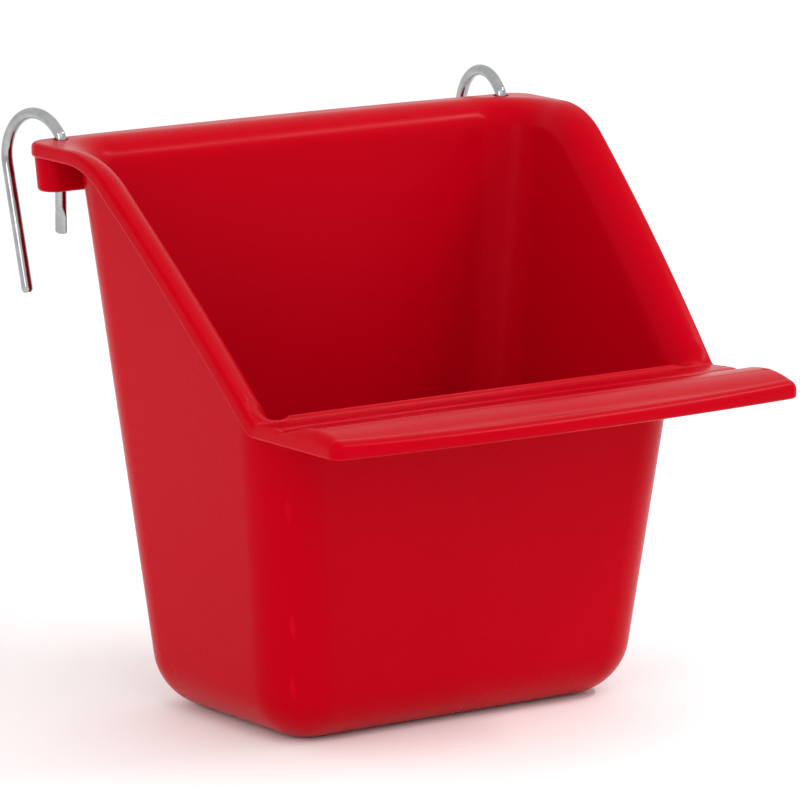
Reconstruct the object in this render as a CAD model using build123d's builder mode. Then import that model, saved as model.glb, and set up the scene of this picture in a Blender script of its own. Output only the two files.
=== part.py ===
from build123d import *
import math
import os

# A hook-on trough feeder: one moulded plastic trough and two wire hooks that swivel in its ears.
# Millimetres. +Z is up, -Y is the front with the perch, +Y is the back that hangs on the cage.
# The origin is the centre of the flat underside.

os.makedirs("parts", exist_ok=True)

# ---- trough shell ----
bottom_half_width = 45.0
bottom_half_depth = 27.7
side_draft = 0.121
front_draft = 0.082
back_draft = 0.075
wall = 2.8
outer_corner_radius = 12.0
outer_bottom_radius = 11.0
inner_corner_radius = 9.2
inner_bottom_radius = 8.4

# ---- rim flange: flat at the back, sloping down to the perch ----
rim_height = 118.0
rim_thickness = 3.0
rim_half_width_at_base = 50.2
rim_draft = 0.117
shoulder_y = 25.6
shoulder_radius = 20.0
shoulder_turn = 40.1
slope_radius = 559.0
slope_turn = 6.45
rim_rear_y = 42.4
rim_rear_bow = 1.6
rim_rear_corner_radius = 5.5
rim_mouth_radius = 1.2

# ---- perch lip ----
lip_under_height = 67.3
lip_flat_end = (-40.7, 70.6)
lip_valley = (-43.3, 70.2)
lip_crest = (-52.7, 72.4)
lip_crest_end = (-60.5, 70.9)
lip_front_end_y = -61.7
lip_front_middle_y = -64.4
lip_top_front_height = 70.2
lip_root_y = -31.5
slope_foot_near = (-33.0, 70.2)
lip_root_fillet = 3.0
lip_corner_radius = 2.4
lip_half_width = rim_half_width_at_base + rim_draft * lip_crest[1]

# ---- ears that carry the hooks ----
ear_front_y = 35.8
ear_bottom_height = 107.5
ear_inner_x = 42.0
ear_outer_x_bottom = 61.5
ear_outer_x_top = 62.4
hook_axis_x = 56.4
hook_axis_y = (ear_front_y + rim_rear_y) / 2
hook_hole_radius = 1.5

# ---- wire hooks ----
wire_radius = 1.2
hook_splay = 6.8
hook_wire_foot = -13.6
hook_bend_start = -0.23
hook_bend_radius = 2.0
hook_bend_turn = 45.0
hook_rise = 0.7
hook_crown_radius = 9.6
hook_crown_turn = 148.5
hook_leg_length = 26.8
wire_end_round = 0.35
paddle_length = 6.0
paddle_neck = 2.4
paddle_width = 3.4
paddle_thickness = 1.3

# ---- sizes of the cutting forms and edge selections, all outside the finished shape ----
form_overshoot = 12.0
form_top = rim_height + form_overshoot
cut_reach = 90.0
below_everything = 55.0
length_tolerance = 1.0
rear_corner_zone = 3.0
longest_corner_edge = 1.2 * rim_thickness


def drafted_block(inset, start_height, corner_radius, base_radius):
    """Return the trough's drafted form, shrunk by inset, from start_height to above the rim."""

    def outline(height):
        half_width = bottom_half_width + side_draft * height - inset
        front_y = -(bottom_half_depth + front_draft * height - inset)
        back_y = bottom_half_depth + back_draft * height - inset
        with BuildSketch(Plane.XY.offset(height)) as section:
            with BuildLine():
                Polyline(
                    (-half_width, front_y),
                    (half_width, front_y),
                    (half_width, back_y),
                    (-half_width, back_y),
                    close=True,
                )
            make_face()
        return section.sketch

    with BuildPart() as block:
        add(outline(start_height))
        add(outline(form_top))
        loft()
        uprights = block.edges().filter_by(
            lambda edge: edge.bounding_box().size.Z > form_top - start_height - length_tolerance
        )
        fillet(uprights, corner_radius)
        bottom_face = block.faces().sort_by(Axis.Z)[0]
        fillet(bottom_face.edges(), base_radius)
    return block.part


def rim_slope_line(depth):
    """Draw the flange's side profile at a depth below its top and return its first and last edge."""
    height = rim_height - depth
    back_flat = Line((cut_reach, height), (shoulder_y, height))
    shoulder = JernArc(back_flat @ 1, back_flat % 1, shoulder_radius - depth, shoulder_turn)
    slope = JernArc(shoulder @ 1, shoulder % 1, slope_radius - depth, slope_turn)
    return back_flat, slope


# ---- flange and perch as one sheet, before the cavity is cut ----
with BuildPart() as rim_sheet:
    with BuildSketch(Plane.YZ) as side_profile:
        with BuildLine():
            top_back, top_slope = rim_slope_line(0.0)
            Line(top_slope @ 1, lip_flat_end)
            Line(lip_flat_end, lip_valley)
            ThreePointArc(lip_valley, lip_crest, lip_crest_end)
            under_back, under_slope = rim_slope_line(rim_thickness)
            Polyline(
                under_slope @ 1,
                (lip_root_y, lip_under_height),
                (-cut_reach, lip_under_height),
                (-cut_reach, lip_top_front_height),
                lip_crest_end,
            )
            Line(top_back @ 0, under_back @ 0)
        make_face()
        slope_foot = side_profile.vertices().sort_by_distance(slope_foot_near)[0]
        fillet(slope_foot, lip_root_fillet)
    extrude(amount=cut_reach, both=True)
    with BuildSketch(Plane.XZ):
        low_half_width = rim_half_width_at_base + rim_draft * below_everything
        high_half_width = rim_half_width_at_base + rim_draft * form_top
        with BuildLine():
            Polyline(
                (-low_half_width, below_everything),
                (low_half_width, below_everything),
                (high_half_width, form_top),
                (-high_half_width, form_top),
                close=True,
            )
        make_face()
    extrude(amount=cut_reach, both=True, mode=Mode.INTERSECT)
    with BuildSketch(Plane.XY.offset(below_everything)) as plan_outline:
        with BuildLine():
            rear = ThreePointArc(
                (-cut_reach, rim_rear_y - rim_rear_bow),
                (0, rim_rear_y + rim_rear_bow),
                (cut_reach, rim_rear_y - rim_rear_bow),
            )
            front = ThreePointArc(
                (-lip_half_width, lip_front_end_y),
                (0, lip_front_middle_y),
                (lip_half_width, lip_front_end_y),
            )
            for side, rear_end, front_end in ((-1, rear @ 0, front @ 0), (1, rear @ 1, front @ 1)):
                lip_inner_corner = (side * lip_half_width, lip_flat_end[0])
                Polyline(front_end, lip_inner_corner, (side * cut_reach, lip_flat_end[0]), rear_end)
        make_face()
        lip_corners = plan_outline.vertices().group_by(Axis.Y)[0]
        fillet(lip_corners, lip_corner_radius)
    extrude(amount=form_top, mode=Mode.INTERSECT)
    rear_corners = rim_sheet.edges().filter_by(
        lambda edge: edge.center().Y > rim_rear_y - rear_corner_zone
        and abs(edge.center().X) > hook_axis_x
        and edge.length < longest_corner_edge
    )
    fillet(rear_corners, rim_rear_corner_radius)


# ---- trough: drafted tub, flange, perch and ears in one moulding ----
def ear_outline(height, outer_x, side):
    """Return the ear's flat section: a bar with a round outer end."""
    end_radius = (rim_rear_y - ear_front_y) / 2
    with BuildSketch(Plane.XY.offset(height)) as section:
        with BuildLine():
            inner_front = (side * ear_inner_x, ear_front_y)
            inner_rear = (side * ear_inner_x, rim_rear_y)
            outer_front = (side * (outer_x - end_radius), ear_front_y)
            outer_rear = (side * (outer_x - end_radius), rim_rear_y)
            Line(inner_front, outer_front)
            ThreePointArc(outer_front, (side * outer_x, ear_front_y + end_radius), outer_rear)
            Line(outer_rear, inner_rear)
            Line(inner_rear, inner_front)
        make_face()
    return section.sketch


def ear(side):
    """Return one ear, drafted so that it widens towards the flange."""
    with BuildPart() as block:
        add(ear_outline(ear_bottom_height, ear_outer_x_bottom, side))
        add(ear_outline(rim_height - rim_thickness / 2, ear_outer_x_top, side))
        loft()
    return block.part


outer_form = drafted_block(0.0, 0.0, outer_corner_radius, outer_bottom_radius)
cavity = drafted_block(wall, wall, inner_corner_radius, inner_bottom_radius)

with BuildPart() as trough:
    add(outer_form)
    with BuildSketch(Plane.YZ):
        with BuildLine():
            back_flat, slope = rim_slope_line(rim_thickness / 2)
            Polyline(
                back_flat @ 0,
                (cut_reach, form_top + form_overshoot),
                (-cut_reach, form_top + form_overshoot),
                (-cut_reach, (slope @ 1).Y),
                slope @ 1,
            )
        make_face()
    extrude(amount=cut_reach, both=True, mode=Mode.SUBTRACT)
    add(rim_sheet.part)
    add(ear(-1))
    add(ear(1))
    add(cavity, mode=Mode.SUBTRACT)
    mouth_edges = trough.edges(Select.NEW)
    fillet(mouth_edges, rim_mouth_radius)
    with Locations((-hook_axis_x, hook_axis_y, rim_height), (hook_axis_x, hook_axis_y, rim_height)):
        Hole(hook_hole_radius, depth=rim_height - ear_bottom_height + rim_thickness)

trough.part.label = "trough"
export_step(trough.part, "parts/trough.step")


# ---- wire hooks: each stands in an ear's hole, leans back over the cage wire and hangs down ----
splay = math.radians(hook_splay)
hook_back = Vector(-math.sin(splay), math.cos(splay), 0)
hook_across = hook_back.cross(Vector(0, 0, 1))
hook_plane = Plane(
    origin=(-hook_axis_x, hook_axis_y, rim_height), x_dir=hook_back, z_dir=hook_across
)
foot_plane = Plane(origin=(-hook_axis_x, hook_axis_y, rim_height + hook_wire_foot))

with BuildPart() as left_hook:
    with BuildLine(hook_plane) as route:
        stem = Line((0, hook_wire_foot), (0, hook_bend_start))
        bend = JernArc(stem @ 1, stem % 1, hook_bend_radius, -hook_bend_turn)
        rise = PolarLine(bend @ 1, hook_rise, angle=90.0 - hook_bend_turn)
        crown = JernArc(rise @ 1, rise % 1, hook_crown_radius, -hook_crown_turn)
        PolarLine(crown @ 1, hook_leg_length, angle=90.0 - hook_bend_turn - hook_crown_turn)
    with BuildSketch(foot_plane):
        Circle(wire_radius)
    sweep(path=route.line)
    leg_end = left_hook.faces().filter_by(GeomType.PLANE).sort_by(Axis.Z)[0]
    fillet(leg_end.edges(), wire_end_round)
    # the foot is hammered flat so that the hook can't be drawn up through its hole
    with BuildSketch(foot_plane):
        Circle(wire_radius)
    with BuildSketch(foot_plane.offset(-paddle_neck)):
        Ellipse(paddle_thickness / 2, paddle_width / 2)
    loft()
    with BuildSketch(foot_plane.offset(-paddle_neck)):
        Ellipse(paddle_thickness / 2, paddle_width / 2)
    extrude(amount=paddle_neck - paddle_length)

left_hook.part.label = "left_hook"
export_step(left_hook.part, "parts/left_hook.step")

with BuildPart() as right_hook:
    mirror(left_hook.part, about=Plane.YZ)

right_hook.part.label = "right_hook"
export_step(right_hook.part, "parts/right_hook.step")
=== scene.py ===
import math

import bmesh
import bpy
import numpy as np
from mathutils import Matrix, Vector


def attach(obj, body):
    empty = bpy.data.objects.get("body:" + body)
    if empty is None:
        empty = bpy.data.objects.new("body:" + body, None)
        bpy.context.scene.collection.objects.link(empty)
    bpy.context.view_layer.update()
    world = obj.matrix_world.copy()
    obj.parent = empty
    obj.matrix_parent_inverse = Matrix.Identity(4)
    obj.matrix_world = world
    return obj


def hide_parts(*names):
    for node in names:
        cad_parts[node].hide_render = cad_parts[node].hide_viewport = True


# A hook-on trough feeder: a glossy moulded trough and two bright wire hooks.
# Lengths are millimetres in the shape code and become metres when a mesh is made.

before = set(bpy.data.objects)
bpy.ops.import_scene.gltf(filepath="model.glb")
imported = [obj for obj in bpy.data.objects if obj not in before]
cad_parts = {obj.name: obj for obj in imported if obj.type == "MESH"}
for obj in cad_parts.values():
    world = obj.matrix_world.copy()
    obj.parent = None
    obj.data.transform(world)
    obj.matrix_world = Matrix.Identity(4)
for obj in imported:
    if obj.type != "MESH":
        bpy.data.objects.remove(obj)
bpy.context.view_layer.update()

MM = 0.001

# ---- trough, as in the CAD part ----
BOTTOM_HALF_WIDTH = 45.0
BOTTOM_HALF_DEPTH = 27.7
SIDE_DRAFT = 0.121
FRONT_DRAFT = 0.082
BACK_DRAFT = 0.075
WALL = 2.8
CORNER_RADIUS = 12.0
INNER_RADIUS = 9.2
INNER_MOUTH_RADIUS = 2.6
MOUTH_CORNER_LOW = 65.0
MOUTH_CORNER_HIGH = 70.0
OUTER_BOTTOM_RADIUS = 11.0
INNER_BOTTOM_RADIUS = 8.4

RIM_HEIGHT = 118.0
RIM_THICKNESS = 3.0
RIM_BASE_HALF_WIDTH = 50.2
RIM_DRAFT = 0.117
SHOULDER_Y = 25.6
SHOULDER_RADIUS = 20.0
SHOULDER_TURN = math.radians(40.1)
SLOPE_RADIUS = 559.0
RIM_REAR_Y = 42.4
RIM_REAR_BOW = 1.6
REAR_CORNER_RADIUS = 5.5
MOUTH_RADIUS = 6.0
FRONT_MOUTH_RADIUS = 1.2
ROOT_RADIUS = 3.0
TOP_EDGE_RADIUS = 1.0
LIP_EDGE_RADIUS = 2.2
LIP_EDGE_START_Y = -44.0
LIP_EDGE_BLEND = 6.0
LOW_EDGE_RADIUS = 0.7

LIP_UNDER = 67.3
LIP_LINE = ((-33.0, 70.1), (-40.7, 70.6), (-43.3, 70.2))
LIP_CREST_Y = -52.7
LIP_CREST_HEIGHT = 72.4
LIP_CREST_END = (-60.7, 70.8)
LIP_FRONT_HEIGHT = 70.4
LIP_END_Y = -61.7
LIP_MIDDLE_Y = -64.4
LIP_CORNER_RADIUS = 2.4
BEADS = ((-38.0, 0.05), (-48.3, 0.08), (-53.5, 0.08))
BEAD_WIDTH = 0.28

EAR_FRONT_Y = 35.8
EAR_BOTTOM = 107.5
EAR_INNER_X = 42.0
EAR_OUTER_X_LOW = 61.5
EAR_OUTER_X_HIGH = 62.4
EAR_EDGE_RADIUS = 0.9
EAR_END_POINTS = 25
EAR_EDGE_RINGS = 7

HOOK_X = 56.4
HOOK_Y = (EAR_FRONT_Y + RIM_REAR_Y) / 2
HOLE_RADIUS = 1.5
HOLE_MOUTH_WIDENING = 0.35
HOLE_MOUTH_DEPTH = 0.3
HOLE_MOUTH_OVERLAP = 0.05
HOLE_TOOL_REACH = 4.0
HOLE_SIDES = 48
TROUGH_CREASE = 32

# ---- hooks ----
WIRE_RADIUS = 1.2
SPLAY = math.radians(6.8)
FOOT_Z = -13.6
BEND_START = -0.23
BEND_RADIUS = 2.0
BEND_TURN = math.radians(45.0)
RISE = 0.7
CROWN_RADIUS = 9.6
CROWN_TURN = math.radians(148.5)
LEG = 26.8
PADDLE_LENGTH = 6.0
PADDLE_NECK = 2.4
PADDLE_HALF_WIDTH = 1.7
PADDLE_HALF_THICKNESS = 0.65
WIRE_END_ROUND = 0.45
WIRE_END_SHRINK = 0.32
WIRE_SIDES = 40
WIRE_CREASE = 40


# ---------------------------------------------------------------- rim profile
def raw_rim_top(y):
    """Height of the rim's top at y, before its creases are softened."""
    shoulder_z = RIM_HEIGHT - SHOULDER_RADIUS
    slope_start_y = SHOULDER_Y - SHOULDER_RADIUS * math.sin(SHOULDER_TURN)
    slope_start_z = shoulder_z + SHOULDER_RADIUS * math.cos(SHOULDER_TURN)
    slope_y = slope_start_y + SLOPE_RADIUS * math.sin(SHOULDER_TURN)
    slope_z = slope_start_z - SLOPE_RADIUS * math.cos(SHOULDER_TURN)
    shoulder = shoulder_z + np.sqrt(np.maximum(SHOULDER_RADIUS**2 - (SHOULDER_Y - y) ** 2, 0.0))
    slope = slope_z + np.sqrt(SLOPE_RADIUS**2 - (y - slope_y) ** 2)
    crest_curve = (LIP_CREST_HEIGHT - LIP_LINE[2][1]) / (LIP_CREST_Y - LIP_LINE[2][0]) ** 2
    crest = LIP_CREST_HEIGHT - crest_curve * (y - LIP_CREST_Y) ** 2
    front_slope = (LIP_CREST_END[1] - LIP_FRONT_HEIGHT) / (LIP_CREST_END[0] - LIP_MIDDLE_Y)
    front = LIP_CREST_END[1] + front_slope * (y - LIP_CREST_END[0])
    flat = np.interp(y, [p[0] for p in LIP_LINE][::-1], [p[1] for p in LIP_LINE][::-1])
    foot_y, valley_y = LIP_LINE[0][0], LIP_LINE[2][0]
    return np.select(
        [y > SHOULDER_Y, y > slope_start_y, y > foot_y, y > valley_y, y > LIP_CREST_END[0]],
        [np.full_like(y, RIM_HEIGHT), shoulder, slope, flat, crest],
        front,
    )


PROFILE_STEP = 0.05
PROFILE_FRONT_Y = -70.0
PROFILE_REAR_Y = 50.0
PROFILE_Y = np.arange(PROFILE_FRONT_Y, PROFILE_REAR_Y, PROFILE_STEP)
TOP_SOFTENING = 1.3
UNDER_SOFTENING = 1.0
SLOPE_SOFTENING = 1.5


def softened(height, width):
    """A running mean, applied twice, over width millimetres of the profile."""
    count = max(3, int(width / PROFILE_STEP) | 1)
    kernel = np.ones(count) / count
    for _ in range(2):
        padded = np.pad(height, count // 2, mode="edge")
        height = np.convolve(padded, kernel, mode="valid")
    return height


RAW_TOP = raw_rim_top(PROFILE_Y)
RAW_SLOPE = np.gradient(RAW_TOP, PROFILE_STEP)
TOP_TABLE = softened(RAW_TOP, TOP_SOFTENING)
for bead_y, bead_height in BEADS:
    TOP_TABLE = TOP_TABLE + bead_height * np.exp(-(((PROFILE_Y - bead_y) / BEAD_WIDTH) ** 2))
OFFSET_UNDER = RAW_TOP - RIM_THICKNESS * np.sqrt(1 + RAW_SLOPE**2)
UNDER_TABLE = np.where(PROFILE_Y > LIP_LINE[0][0], np.maximum(OFFSET_UNDER, LIP_UNDER), LIP_UNDER)
UNDER_TABLE = softened(UNDER_TABLE, UNDER_SOFTENING)
TOP_SLOPE_TABLE = softened(np.gradient(TOP_TABLE, PROFILE_STEP), SLOPE_SOFTENING)
UNDER_SLOPE_TABLE = softened(np.gradient(UNDER_TABLE, PROFILE_STEP), SLOPE_SOFTENING)


def look_up(table, y):
    return np.interp(y, PROFILE_Y, table)


def eased(share):
    """A share from 0 to 1 that starts and ends gently."""
    return share * share * (3 - 2 * share)


# ---------------------------------------------------------------- the trough's loops
# columns along each stretch of the left half
REAR_COUNT, REAR_CORNER_COUNT, SIDE_COUNT, FRONT_CORNER_COUNT, FRONT_COUNT = 34, 26, 90, 60, 46
LIP_TURN_COUNT = 14
# rings over each stretch of the skin
FLOOR_TURN_RINGS, WALL_RINGS, MOUTH_RINGS, TOP_RINGS, TOP_EDGE_RINGS = 14, 30, 18, 110, 10
LOW_EDGE_RINGS, UNDER_RINGS, ROOT_RINGS, BASE_TURN_RINGS = 6, 24, 12, 18
RIM_SIDE_END_Y = -24.0
SURFACE_SEARCH_ROUNDS = 12


def half_loop():
    """Where each column of the left half stands: centre shares along X and Y, and the outward normal."""
    quarter = math.pi / 2
    rear = np.linspace(0, 1, REAR_COUNT, endpoint=False)
    corner = np.linspace(0, quarter, REAR_CORNER_COUNT, endpoint=False)
    side = np.linspace(0, 1, SIDE_COUNT, endpoint=False)
    front_corner = np.linspace(0, quarter, FRONT_CORNER_COUNT, endpoint=False)
    front = np.linspace(0, 1, FRONT_COUNT)
    share_x = np.concatenate([rear, np.ones(len(corner) + len(side) + len(front_corner)), 1 - front])
    share_y = np.concatenate(
        [np.zeros(len(rear) + len(corner)), side, np.ones(len(front_corner) + len(front))]
    )
    normal_x = np.concatenate(
        [0 * rear, -np.sin(corner), -np.ones(len(side)), -np.cos(front_corner), 0 * front]
    )
    normal_y = np.concatenate(
        [np.ones(len(rear)), np.cos(corner), 0 * side, -np.sin(front_corner), -np.ones(len(front))]
    )
    return share_x, share_y, normal_x, normal_y


SHARE_X, SHARE_Y, NORMAL_X, NORMAL_Y = half_loop()


def inner_front_radius(z):
    """The cavity's front corners are round inside the tub and tight where the lip backs them."""
    share = eased(np.clip((z - MOUTH_CORNER_LOW) / (MOUTH_CORNER_HIGH - MOUTH_CORNER_LOW), 0, 1))
    return INNER_RADIUS + (INNER_MOUTH_RADIUS - INNER_RADIUS) * share


def wall_loop(out, z, inner=False):
    """Plan points of the drafted tub at heights z, moved outwards by out from its outer wall."""
    half_width = BOTTOM_HALF_WIDTH + SIDE_DRAFT * z + out
    front = BOTTOM_HALF_DEPTH + FRONT_DRAFT * z + out
    back = BOTTOM_HALF_DEPTH + BACK_DRAFT * z + out
    rear_radius = CORNER_RADIUS + out
    front_radius = inner_front_radius(z) + WALL + out if inner else rear_radius
    radius = (1 - SHARE_Y) * rear_radius + SHARE_Y * front_radius
    x = -SHARE_X * (half_width - radius) + radius * NORMAL_X
    y = (1 - SHARE_Y) * (back - rear_radius) - SHARE_Y * (front - front_radius) + radius * NORMAL_Y
    return x, y


def rim_loop():
    """Plan points and outward normals of the rim's outer edge, column by column with wall_loop."""
    quarter = math.pi / 2

    def side_x(y):
        return -(RIM_BASE_HALF_WIDTH + RIM_DRAFT * look_up(RAW_TOP, np.maximum(y, LIP_LINE[0][0])))

    def rear_y(x):
        return RIM_REAR_Y + RIM_REAR_BOW * (1 - (x / HOOK_X) ** 2)

    corner_x = side_x(np.array([RIM_REAR_Y]))[0] + REAR_CORNER_RADIUS
    corner_y = rear_y(corner_x) - REAR_CORNER_RADIUS
    rear_x = np.linspace(0, corner_x, REAR_COUNT, endpoint=False)
    turn = np.linspace(0, quarter, REAR_CORNER_COUNT, endpoint=False)
    side = np.linspace(corner_y, RIM_SIDE_END_Y, SIDE_COUNT, endpoint=False)
    lip_end_x = side_x(np.array([LIP_END_Y]))[0]

    def front_y(x):
        return LIP_MIDDLE_Y + (LIP_END_Y - LIP_MIDDLE_Y) * (x / lip_end_x) ** 2

    run_count = FRONT_CORNER_COUNT - LIP_TURN_COUNT
    lip_turn_x = lip_end_x + LIP_CORNER_RADIUS
    lip_turn_y = front_y(lip_turn_x) + LIP_CORNER_RADIUS
    run = np.linspace(RIM_SIDE_END_Y, lip_turn_y, run_count, endpoint=False)
    lip_turn = np.linspace(0, quarter, LIP_TURN_COUNT, endpoint=False)
    front_x = np.linspace(lip_turn_x, 0, FRONT_COUNT)
    x = np.concatenate([
        rear_x,
        corner_x - REAR_CORNER_RADIUS * np.sin(turn),
        side_x(side),
        side_x(run),
        lip_turn_x - LIP_CORNER_RADIUS * np.cos(lip_turn),
        front_x,
    ])
    y = np.concatenate([
        rear_y(rear_x),
        corner_y + REAR_CORNER_RADIUS * np.cos(turn),
        side,
        run,
        lip_turn_y - LIP_CORNER_RADIUS * np.sin(lip_turn),
        front_y(front_x),
    ])
    tangent_x, tangent_y = np.gradient(x), np.gradient(y)
    tangent_y[0] = tangent_y[-1] = 0.0
    length = np.hypot(tangent_x, tangent_y)
    return x, y, tangent_y / length, -tangent_x / length


def turn_out(out, table, slope_table, radius, steps, inner=False):
    """Rings that turn from a wall at distance out, outwards into the surface of table."""
    z = np.full(len(SHARE_X), RIM_HEIGHT)
    for _ in range(SURFACE_SEARCH_ROUNDS):
        x, y = wall_loop(out, z, inner)
        z = look_up(table, y)
    slope = look_up(slope_table, y)
    stretch = np.sqrt(1 + (slope * NORMAL_X) ** 2)
    fall = slope * NORMAL_Y / stretch
    turn = math.pi / 2 - np.arctan(fall)
    run = radius * np.tan(turn / 2)
    rings = []
    for step in np.linspace(0, 1, steps):
        angle = step * turn
        ring_out = out + radius * (1 - np.cos(angle))
        ring_z = z + stretch * (radius * np.sin(angle) - run)
        rings.append([ring_out, ring_z])
    end_y = wall_loop(*rings[-1], inner)[1]
    miss = look_up(table, end_y) - rings[-1][1]
    result = []
    for share, (ring_out, ring_z) in zip(np.linspace(0, 1, steps), rings):
        ring_z = ring_z + miss * share**2
        x, y = wall_loop(ring_out, ring_z, inner)
        result.append((x, y, ring_z))
    return result


def bottom_turn(out, floor, radius, steps, inner=False):
    """Rings from the floor up into the wall at distance out."""
    rings = []
    for angle in np.linspace(0, math.pi / 2, steps):
        z = np.full(len(SHARE_X), floor + radius * (1 - math.cos(angle)))
        x, y = wall_loop(out - radius * (1 - math.sin(angle)), z, inner)
        rings.append((x, y, z))
    return rings


def wall_rings(out, low_z, high_z, steps, inner=False):
    """Rings up a wall between two others, without the two themselves."""
    rings = []
    for share in np.linspace(0, 1, steps + 2)[1:-1]:
        z = low_z + share * (high_z - low_z)
        x, y = wall_loop(out, z, inner)
        rings.append((x, y, z))
    return rings


def between(first, last, table, steps):
    """Rings over the surface of table, between two others, without the two themselves."""
    rings = []
    for share in np.linspace(0, 1, steps + 2)[1:-1]:
        x = first[0] + share * (last[0] - first[0])
        y = first[1] + share * (last[1] - first[1])
        rings.append((x, y, look_up(table, y)))
    return rings


def rim_edge_rings():
    """Rings over the rim's outer edge, from its top surface round to its underside."""
    x, y, normal_x, normal_y = rim_loop()
    lip_share = np.clip((LIP_EDGE_START_Y - y) / LIP_EDGE_BLEND, 0, 1)
    edge_radius = TOP_EDGE_RADIUS + (LIP_EDGE_RADIUS - TOP_EDGE_RADIUS) * lip_share
    rings = []
    for angle in np.linspace(0, math.pi / 2, TOP_EDGE_RINGS):
        inset = edge_radius * (1 - math.sin(angle))
        ring_y = y - inset * normal_y
        z = look_up(TOP_TABLE, y - edge_radius * normal_y) - edge_radius * (1 - math.cos(angle))
        rings.append((x - inset * normal_x, ring_y, z))
    low_edge_z = look_up(UNDER_TABLE, y - LOW_EDGE_RADIUS * normal_y)
    for angle in np.linspace(math.pi / 2, 0, LOW_EDGE_RINGS):
        inset = LOW_EDGE_RADIUS * (1 - math.sin(angle))
        ring_y = y - inset * normal_y
        z = low_edge_z + LOW_EDGE_RADIUS * (1 - math.cos(angle))
        rings.append((x - inset * normal_x, ring_y, z))
    return rings


def mouth_radius():
    """The bell mouth is wide at the back and sides and tight over the front wall."""
    front = np.clip(-NORMAL_Y, 0, 1)
    share = eased(np.arcsin(front) / (math.pi / 2))
    return MOUTH_RADIUS + (FRONT_MOUTH_RADIUS - MOUTH_RADIUS) * share


def trough_rings():
    """All rings of the trough's skin, from the middle of its floor over the rim to its underside."""
    floor_turn = bottom_turn(-WALL, WALL, INNER_BOTTOM_RADIUS, FLOOR_TURN_RINGS, inner=True)
    mouth = turn_out(-WALL, TOP_TABLE, TOP_SLOPE_TABLE, mouth_radius(), MOUTH_RINGS, inner=True)
    edge = rim_edge_rings()
    root_radius = np.full(len(SHARE_X), ROOT_RADIUS)
    root = turn_out(0.0, UNDER_TABLE, UNDER_SLOPE_TABLE, root_radius, ROOT_RINGS)
    base_turn = bottom_turn(0.0, 0.0, OUTER_BOTTOM_RADIUS, BASE_TURN_RINGS)
    inner_wall = wall_rings(-WALL, floor_turn[-1][2], mouth[0][2], WALL_RINGS, inner=True)
    outer_wall = wall_rings(0.0, base_turn[-1][2], root[0][2], WALL_RINGS)
    top = between(mouth[-1], edge[0], TOP_TABLE, TOP_RINGS)
    under = between(edge[-1], root[-1], UNDER_TABLE, UNDER_RINGS)
    outside = base_turn + outer_wall + root
    return floor_turn + inner_wall + mouth + top + edge + under + outside[::-1]


# ---------------------------------------------------------------- mesh making
def ring_mesh(name, rings, centres):
    """A closed mesh from equal rings, each an (n, 3) array in millimetres, and its two end centres."""
    count = len(rings[0])
    points = np.vstack([np.vstack(rings), np.array(centres)]) * MM
    faces = []
    for ring in range(len(rings) - 1):
        for column in range(count):
            after = (column + 1) % count
            low, high = ring * count, (ring + 1) * count
            faces.append((low + column, low + after, high + after, high + column))
    first_centre, last_centre = len(points) - 2, len(points) - 1
    last = (len(rings) - 1) * count
    for column in range(count):
        after = (column + 1) % count
        faces.append((after, column, first_centre))
        faces.append((last + column, last + after, last_centre))
    mesh = bpy.data.meshes.new(name)
    mesh.from_pydata([tuple(p) for p in points], [], faces)
    mesh.validate()
    turner = bmesh.new()
    turner.from_mesh(mesh)
    bmesh.ops.recalc_face_normals(turner, faces=turner.faces)
    turner.to_mesh(mesh)
    turner.free()
    piece = bpy.data.objects.new(name, mesh)
    bpy.context.scene.collection.objects.link(piece)
    return piece


def whole_ring(half):
    """The left half ring and its mirror image as one loop."""
    x, y, z = (np.asarray(v, float) for v in half)
    left = np.column_stack([x, y, z])
    right = np.column_stack([-x, y, z])[::-1][1:-1]
    return np.vstack([left, right])


def smooth(piece, angle):
    """Smooth shading with creases sharper than angle kept."""
    piece.data.shade_smooth()
    piece.data.set_sharp_from_angle(angle=math.radians(angle))


def boolean(piece, tool, operation):
    """Joins tool to piece, or cuts it out, and removes the tool."""
    modifier = piece.modifiers.new(operation.lower(), "BOOLEAN")
    modifier.operation = operation
    modifier.solver = "EXACT"
    modifier.object = tool
    graph = bpy.context.evaluated_depsgraph_get()
    mesh = bpy.data.meshes.new_from_object(piece.evaluated_get(graph))
    piece.modifiers.clear()
    piece.data = mesh
    bpy.data.objects.remove(tool)


def ear_piece(side):
    """One ear: a bar with a round outer end, drafted, with a soft lower edge."""
    end_radius = (RIM_REAR_Y - EAR_FRONT_Y) / 2
    top_z = RIM_HEIGHT - RIM_THICKNESS / 2

    def outline(outer_x, inset, z):
        radius = end_radius - inset
        centre_x = outer_x - end_radius
        centre_y = EAR_FRONT_Y + end_radius
        points = [(EAR_INNER_X + inset, centre_y - radius, z)]
        for angle in np.linspace(-math.pi / 2, math.pi / 2, EAR_END_POINTS):
            points.append((centre_x + radius * math.cos(angle), centre_y + radius * math.sin(angle), z))
        points.append((EAR_INNER_X + inset, centre_y + radius, z))
        return np.array(points) * np.array([side, 1, 1])

    rings = []
    for angle in np.linspace(0, math.pi / 2, EAR_EDGE_RINGS):
        inset = EAR_EDGE_RADIUS * (1 - math.sin(angle))
        z = EAR_BOTTOM + EAR_EDGE_RADIUS * (1 - math.cos(angle))
        rings.append(outline(EAR_OUTER_X_LOW, inset, z))
    rings.append(outline(EAR_OUTER_X_HIGH, 0.0, top_z))
    middle = side * (EAR_INNER_X + EAR_OUTER_X_LOW) / 2
    return ring_mesh("ear_tool", rings, [(middle, HOOK_Y, EAR_BOTTOM), (middle, HOOK_Y, top_z)])


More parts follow.
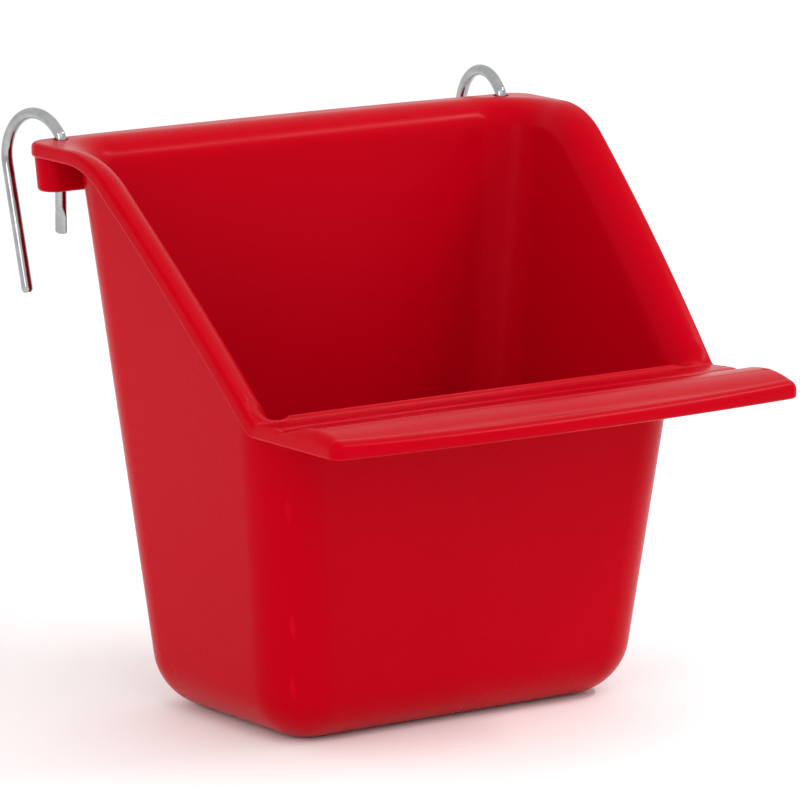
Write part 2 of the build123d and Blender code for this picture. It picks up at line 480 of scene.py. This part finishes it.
def hole_tool(side):
    """The round hole through an ear, with a slightly broken edge at its mouth."""
    mouth_radius_at_top = HOLE_RADIUS + HOLE_MOUTH_WIDENING
    levels = (
        (EAR_BOTTOM - HOLE_TOOL_REACH, HOLE_RADIUS),
        (RIM_HEIGHT - HOLE_MOUTH_DEPTH, HOLE_RADIUS),
        (RIM_HEIGHT + HOLE_MOUTH_OVERLAP, mouth_radius_at_top),
        (RIM_HEIGHT + HOLE_TOOL_REACH, mouth_radius_at_top),
    )
    angles = np.linspace(0, 2 * math.pi, HOLE_SIDES, endpoint=False)
    rings = []
    for z, radius in levels:
        ring = np.column_stack([radius * np.cos(angles), radius * np.sin(angles), np.full(HOLE_SIDES, z)])
        rings.append(ring + np.array([side * HOOK_X, HOOK_Y, 0]))
    ends = [(side * HOOK_X, HOOK_Y, levels[0][0]), (side * HOOK_X, HOOK_Y, levels[-1][0])]
    return ring_mesh("hole_tool", rings, ends)


def make_trough():
    rings = [whole_ring(ring) for ring in trough_rings()]
    piece = ring_mesh("trough_shell", rings, [(0, 0, WALL), (0, 0, 0)])
    for side in (-1, 1):
        boolean(piece, ear_piece(side), "UNION")
        boolean(piece, hole_tool(side), "DIFFERENCE")
    smooth(piece, TROUGH_CREASE)
    return piece


# ---------------------------------------------------------------- hooks
def hook_route():
    """The wire's centreline in the hook's own plane: how far back, and the height over the rim."""
    points = []

    def straight(start, heading, length, steps):
        for share in np.linspace(0, 1, steps, endpoint=False):
            points.append((
                start[0] + share * length * math.sin(heading),
                start[1] + share * length * math.cos(heading),
                heading,
            ))
        return start[0] + length * math.sin(heading), start[1] + length * math.cos(heading)

    def arc(start, heading, radius, turn, steps):
        centre = (start[0] + radius * math.cos(heading), start[1] - radius * math.sin(heading))
        for share in np.linspace(0, 1, steps, endpoint=False):
            angle = heading + share * turn
            points.append((
                centre[0] - radius * math.cos(angle),
                centre[1] + radius * math.sin(angle),
                angle,
            ))
        angle = heading + turn
        return centre[0] - radius * math.cos(angle), centre[1] + radius * math.sin(angle)

    foot = FOOT_Z - PADDLE_LENGTH
    place = straight((0.0, foot), 0.0, PADDLE_LENGTH, 26)
    place = straight(place, 0.0, BEND_START - FOOT_Z, 24)
    place = arc(place, 0.0, BEND_RADIUS, BEND_TURN, 14)
    place = straight(place, BEND_TURN, RISE, 8)
    place = arc(place, BEND_TURN, CROWN_RADIUS, CROWN_TURN, 64)
    heading = BEND_TURN + CROWN_TURN
    end = straight(place, heading, LEG, 44)
    points.append((end[0], end[1], heading))
    return points


def wire_section(along, total):
    """Half width in the hook's plane and half thickness across it, at a distance along the wire."""
    share = eased(np.clip((PADDLE_LENGTH - along) / PADDLE_NECK, 0, 1))
    width = WIRE_RADIUS + (PADDLE_HALF_WIDTH - WIRE_RADIUS) * share
    thickness = WIRE_RADIUS + (PADDLE_HALF_THICKNESS - WIRE_RADIUS) * share
    end = min(along, total - along)
    if end < WIRE_END_ROUND:
        shrink = 1 - WIRE_END_SHRINK * (1 - math.sqrt(1 - (1 - end / WIRE_END_ROUND) ** 2))
        width, thickness = width * shrink, thickness * shrink
    return width, thickness


def make_hook(side, name):
    route = hook_route()
    back = np.array([side * math.sin(SPLAY), math.cos(SPLAY), 0.0])
    across = np.array([math.cos(SPLAY), -side * math.sin(SPLAY), 0.0])
    origin = np.array([side * HOOK_X, HOOK_Y, RIM_HEIGHT])
    steps = np.hypot(np.diff([p[0] for p in route]), np.diff([p[1] for p in route]))
    along = np.concatenate([[0.0], np.cumsum(steps)])
    angles = np.linspace(0, 2 * math.pi, WIRE_SIDES, endpoint=False)
    rings = []
    for (reach, height, heading), distance in zip(route, along):
        normal = back * math.cos(heading) + np.array([0, 0, -math.sin(heading)])
        centre = origin + back * reach + np.array([0, 0, height])
        width, thickness = wire_section(distance, along[-1])
        in_plane = np.outer(width * np.cos(angles), normal)
        sideways = np.outer(thickness * np.sin(angles), across)
        rings.append(centre + in_plane + sideways)
    piece = ring_mesh(name, rings, [rings[0].mean(axis=0), rings[-1].mean(axis=0)])
    smooth(piece, WIRE_CREASE)
    return piece


# ---------------------------------------------------------------- materials
def node(tree, kind, **values):
    made = tree.nodes.new(kind)
    for key, value in values.items():
        if key in made.inputs:
            made.inputs[key].default_value = value
        else:
            setattr(made, key, value)
    return made


def colour_ramp(tree, source, stops):
    """A ramp from source's output through (position, colour) stops."""
    ramp = node(tree, "ShaderNodeValToRGB")
    tree.links.new(source, ramp.inputs["Fac"])
    while len(ramp.color_ramp.elements) < len(stops):
        ramp.color_ramp.elements.new(0.5)
    for element, (position, colour) in zip(ramp.color_ramp.elements, stops):
        element.position = position
        element.color = (*colour, 1.0)
    return ramp.outputs["Color"]


def noise(tree, vector, scale, detail=3.0, rough=0.5):
    made = node(tree, "ShaderNodeTexNoise", Scale=scale, Detail=detail, Roughness=rough)
    tree.links.new(vector, made.inputs["Vector"])
    return made.outputs["Fac"]


def stretched(tree, source, scale):
    """Object coordinates stretched for streaks."""
    mapping = node(tree, "ShaderNodeMapping")
    mapping.inputs["Scale"].default_value = scale
    tree.links.new(source, mapping.inputs["Vector"])
    return mapping.outputs["Vector"]


def spread(tree, source, source_range, result_range):
    """Maps source from one range to another."""
    mapped = node(tree, "ShaderNodeMapRange")
    mapped.inputs["From Min"].default_value, mapped.inputs["From Max"].default_value = source_range
    mapped.inputs["To Min"].default_value, mapped.inputs["To Max"].default_value = result_range
    tree.links.new(source, mapped.inputs["Value"])
    return mapped.outputs["Result"]


def bumped(tree, height, strength, distance, below=None):
    """The normal of a bump from height, over the bump below it."""
    bump = node(tree, "ShaderNodeBump", Strength=strength, Distance=distance)
    tree.links.new(height, bump.inputs["Height"])
    if below:
        tree.links.new(below, bump.inputs["Normal"])
    return bump.outputs["Normal"]


def mixed(tree, share, below, colour):
    """Colour laid over below, by share."""
    mix = node(tree, "ShaderNodeMix", data_type="RGBA")
    mix.inputs[7].default_value = (*colour, 1.0)
    tree.links.new(share, mix.inputs[0])
    tree.links.new(below, mix.inputs[6])
    return mix.outputs[2]


def mask(tree, source, low, high):
    """Black below low, white above high."""
    return colour_ramp(tree, source, ((low, (0.0, 0.0, 0.0)), (high, (1.0, 1.0, 1.0))))


RED_DARK = (0.415, 0.0001, 0.0060)
RED_LIGHT = (0.450, 0.0001, 0.0075)
# lighter red for the painted highlight on convex edges
RED_EDGE_HIGHLIGHT = (0.56, 0.002, 0.014)
RED_SPECK = (0.60, 0.010, 0.022)
SPECK_SHARE = 0.10
RED_ROUGHNESS = (0.20, 0.32)
GLOSS_TINT = (1.0, 0.22, 0.28, 1.0)
WIRE_DARK = (0.30, 0.305, 0.31)
WIRE_LIGHT = (0.44, 0.445, 0.45)
WIRE_ROUGHNESS = (0.07, 0.15)


def red_plastic():
    """Glossy moulded plastic: deep red, faint flow marks, orange peel, fine scuffs, and a painted
    highlight of lighter red on convex edges.
    """
    material = bpy.data.materials.new("red_plastic")
    material.use_nodes = True
    tree = material.node_tree
    shader = tree.nodes["Principled BSDF"]
    place = node(tree, "ShaderNodeTexCoord").outputs["Object"]
    flow = noise(tree, stretched(tree, place, (14.0, 14.0, 5.0)), 1.0, 4.0, 0.55)
    base = colour_ramp(tree, flow, ((0.30, RED_DARK), (0.72, RED_LIGHT)))
    geometry = node(tree, "ShaderNodeNewGeometry")
    # painted highlight: convex edges, found by pointiness and broken up by noise, are mixed towards a
    # lighter red
    edge_highlight_share = node(tree, "ShaderNodeMath", operation="MULTIPLY")
    tree.links.new(mask(tree, geometry.outputs["Pointiness"], 0.52, 0.60), edge_highlight_share.inputs[0])
    tree.links.new(noise(tree, place, 140.0, 5.0, 0.65), edge_highlight_share.inputs[1])
    edge_highlit_base = mixed(tree, edge_highlight_share.outputs[0], base, RED_EDGE_HIGHLIGHT)
    speck = node(tree, "ShaderNodeMath", operation="MULTIPLY")
    speck.inputs[1].default_value = SPECK_SHARE
    tree.links.new(mask(tree, noise(tree, place, 900.0, 2.0, 0.6), 0.70, 0.78), speck.inputs[0])
    tree.links.new(mixed(tree, speck.outputs[0], edge_highlit_base, RED_SPECK), shader.inputs["Base Color"])

    smudge = noise(tree, place, 38.0, 5.0, 0.6)
    tree.links.new(spread(tree, smudge, (0.30, 0.75), RED_ROUGHNESS), shader.inputs["Roughness"])

    peel = noise(tree, place, 420.0, 3.0, 0.5)
    sink = noise(tree, stretched(tree, place, (22.0, 22.0, 9.0)), 1.0, 2.0, 0.5)
    scuff = noise(tree, stretched(tree, place, (90.0, 900.0, 900.0)), 1.0, 2.0, 0.5)
    peel_normal = bumped(tree, peel, 0.03, 0.0003)
    sink_normal = bumped(tree, sink, 0.04, 0.002, peel_normal)
    scuff_normal = bumped(tree, mask(tree, scuff, 0.70, 0.74), 0.03, 0.0001, sink_normal)
    tree.links.new(scuff_normal, shader.inputs["Normal"])
    shader.inputs["Specular IOR Level"].default_value = 0.06
    shader.inputs["Specular Tint"].default_value = GLOSS_TINT
    shader.inputs["IOR"].default_value = 1.49
    return material


def bright_wire():
    """Plated drawn steel wire: bright, with fine draw lines, soft mottling and small dull spots."""
    material = bpy.data.materials.new("bright_wire")
    material.use_nodes = True
    tree = material.node_tree
    shader = tree.nodes["Principled BSDF"]
    place = node(tree, "ShaderNodeTexCoord").outputs["Object"]
    mottle = noise(tree, place, 260.0, 4.0, 0.6)
    base = colour_ramp(tree, mottle, ((0.30, WIRE_DARK), (0.70, WIRE_LIGHT)))
    tree.links.new(base, shader.inputs["Base Color"])
    shader.inputs["Metallic"].default_value = 1.0
    spots = noise(tree, place, 700.0, 3.0, 0.55)
    tree.links.new(spread(tree, spots, (0.35, 0.75), WIRE_ROUGHNESS), shader.inputs["Roughness"])
    lines = noise(tree, stretched(tree, place, (2600.0, 2600.0, 60.0)), 1.0, 2.0, 0.5)
    tree.links.new(bumped(tree, lines, 0.06, 0.0001), shader.inputs["Normal"])
    return material


def plain(name, colour, roughness):
    material = bpy.data.materials.new(name)
    material.use_nodes = True
    shader = material.node_tree.nodes["Principled BSDF"]
    shader.inputs["Base Color"].default_value = (*colour, 1.0)
    shader.inputs["Roughness"].default_value = roughness
    shader.inputs["Specular IOR Level"].default_value = 0.1
    return material


# ---------------------------------------------------------------- camera, floor and light
# azimuth 0 is the front and 90 the right, in degrees; lengths in metres
CAMERA_AZIMUTH = -35.85
CAMERA_ELEVATION = 10.94
CAMERA_ROLL = 0.27
CAMERA_DISTANCE = 1.3384
CAMERA_TARGET = Vector((0.00173, 0.0, 0.06329))
CAMERA_LENS = 290.2
LIGHT_TARGET = Vector((0.0, 0.0, 0.07))
# name, azimuth, elevation, distance, size, power
LIGHTS = (
    ("key", -67.0, 20.0, 0.9, (0.45, 0.45), 1.7),
    ("band", 55.0, 45.0, 0.8, (0.40, 0.012), 2.2),
    ("fill", -15.0, 35.0, 1.0, (0.6, 0.6), 1.0),
)
FLOOR_HALF_SIZE = 15.0
FLOOR_COLOUR = (0.97, 0.97, 0.97)
FLOOR_ROUGHNESS = 0.7
WORLD_STRENGTH = 1.0


def direction(azimuth, elevation):
    """The unit vector from the feeder towards an azimuth and elevation in degrees."""
    turn, rise = math.radians(azimuth), math.radians(elevation)
    return Vector((math.sin(turn) * math.cos(rise), -math.cos(turn) * math.cos(rise), math.sin(rise)))


def aim(obj, place, target, roll=0.0):
    """Puts obj at place, looking at target, turned by roll radians about its view."""
    forward = (Vector(target) - Vector(place)).normalized()
    right = forward.cross(Vector((0, 0, 1))).normalized()
    up = right.cross(forward)
    turned_right = right * math.cos(roll) + up * math.sin(roll)
    turned_up = up * math.cos(roll) - right * math.sin(roll)
    turn = Matrix((turned_right, turned_up, -forward)).transposed().to_4x4()
    obj.matrix_world = Matrix.Translation(place) @ turn


def add_camera():
    data = bpy.data.cameras.new("camera")
    data.lens = CAMERA_LENS
    data.sensor_width = 36.0
    data.clip_end = 100.0
    camera = bpy.data.objects.new("camera", data)
    bpy.context.scene.collection.objects.link(camera)
    place = CAMERA_TARGET + direction(CAMERA_AZIMUTH, CAMERA_ELEVATION) * CAMERA_DISTANCE
    aim(camera, place, CAMERA_TARGET, math.radians(CAMERA_ROLL))
    bpy.context.scene.camera = camera


def add_light(name, azimuth, elevation, distance, size, power):
    """A soft rectangular light, aimed at the feeder."""
    data = bpy.data.lights.new(name, "AREA")
    data.shape = "RECTANGLE"
    data.size, data.size_y = size
    data.energy = power
    light = bpy.data.objects.new(name, data)
    bpy.context.scene.collection.objects.link(light)
    aim(light, LIGHT_TARGET + direction(azimuth, elevation) * distance, LIGHT_TARGET)


def add_floor():
    mesh = bpy.data.meshes.new("floor")
    half = FLOOR_HALF_SIZE
    corners = [(-half, -half, 0), (half, -half, 0), (half, half, 0), (-half, half, 0)]
    mesh.from_pydata(corners, [], [(0, 1, 2, 3)])
    floor = bpy.data.objects.new("floor", mesh)
    bpy.context.scene.collection.objects.link(floor)
    floor.data.materials.append(plain("floor", FLOOR_COLOUR, FLOOR_ROUGHNESS))


def add_world():
    world = bpy.data.worlds.new("world")
    bpy.context.scene.world = world
    world.use_nodes = True
    background = world.node_tree.nodes["Background"]
    background.inputs["Color"].default_value = (1.0, 1.0, 1.0, 1.0)
    background.inputs["Strength"].default_value = WORLD_STRENGTH
    bpy.context.scene.view_settings.view_transform = "Standard"


# ---------------------------------------------------------------- the scene
add_camera()
add_floor()
add_world()
for light in LIGHTS:
    add_light(*light)

red = red_plastic()
wire = bright_wire()

trough = make_trough()
trough.data.materials.clear()
trough.data.materials.append(red)
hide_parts("trough")
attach(trough, "trough")

for side, body in ((-1, "left_hook"), (1, "right_hook")):
    hook = make_hook(side, body + "_wire")
    hook.data.materials.append(wire)
    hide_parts(body)
    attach(hook, body)
